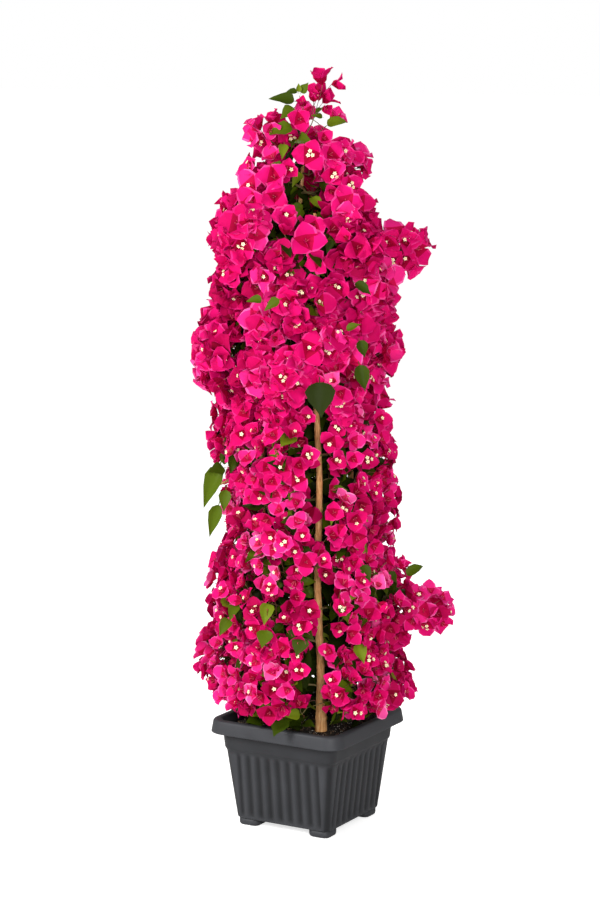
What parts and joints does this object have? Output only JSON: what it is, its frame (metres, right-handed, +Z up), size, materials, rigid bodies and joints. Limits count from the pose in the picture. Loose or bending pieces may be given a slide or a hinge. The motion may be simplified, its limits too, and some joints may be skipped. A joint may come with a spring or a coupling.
{
  "type": "potted bougainvillea",
  "caption": "Bougainvillea trained as a tall narrow column of bracts on upright stems in a square fluted planter on short feet, for a patio or doorway.",
  "frame": {"origin": "on the floor under the middle of the planter", "axes": "+Z up through the planter and crown; the planter's four walls face +X, +Y, -X and -Y"},
  "size_m": [0.5346, 0.4165, 1.4927],
  "materials": {
    "planter": "satin moulded plastic, anthracite",
    "compost": "moist dark potting mix",
    "bark": "tan woody bark",
    "blossom": "papery magenta bracts",
    "leaf": "soft green leaves"
  },
  "bodies": {
    "root": {"back_left_bough": "bark", "back_left_spray": "blossom", "back_stem": "bark", "compost": "compost", "front_stem": "bark", "head_mass_1": "blossom", "head_mass_2": "blossom", "head_mass_3": "blossom", "left_leaf_bough": "bark", "left_leaf_spray": "leaf", "left_stem": "bark", "lower_mass_1": "blossom", "lower_mass_2": "blossom", "lower_mass_3": "blossom", "lower_mass_4": "blossom", "lower_right_bough": "bark", "lower_right_spray": "blossom", "middle_mass_1": "blossom", "middle_mass_2": "blossom", "middle_mass_3": "blossom", "middle_mass_4": "blossom", "planter": "planter", "right_stem": "bark", "shoulder_mass_1": "blossom", "shoulder_mass_2": "blossom", "shoulder_mass_3": "blossom", "shoulder_mass_4": "blossom", "skirt_mass_1": "blossom", "skirt_mass_2": "blossom", "skirt_mass_3": "blossom", "skirt_mass_4": "blossom", "tip_left_spray": "blossom", "tip_spray": "blossom", "upper_mass_1": "blossom", "upper_mass_2": "blossom", "upper_mass_3": "blossom", "upper_mass_4": "blossom", "upper_right_bough": "bark", "upper_right_spray": "blossom", "waist_mass_1": "blossom", "waist_mass_2": "blossom", "waist_mass_3": "blossom", "waist_mass_4": "blossom"}
  },
  "joints": []
}
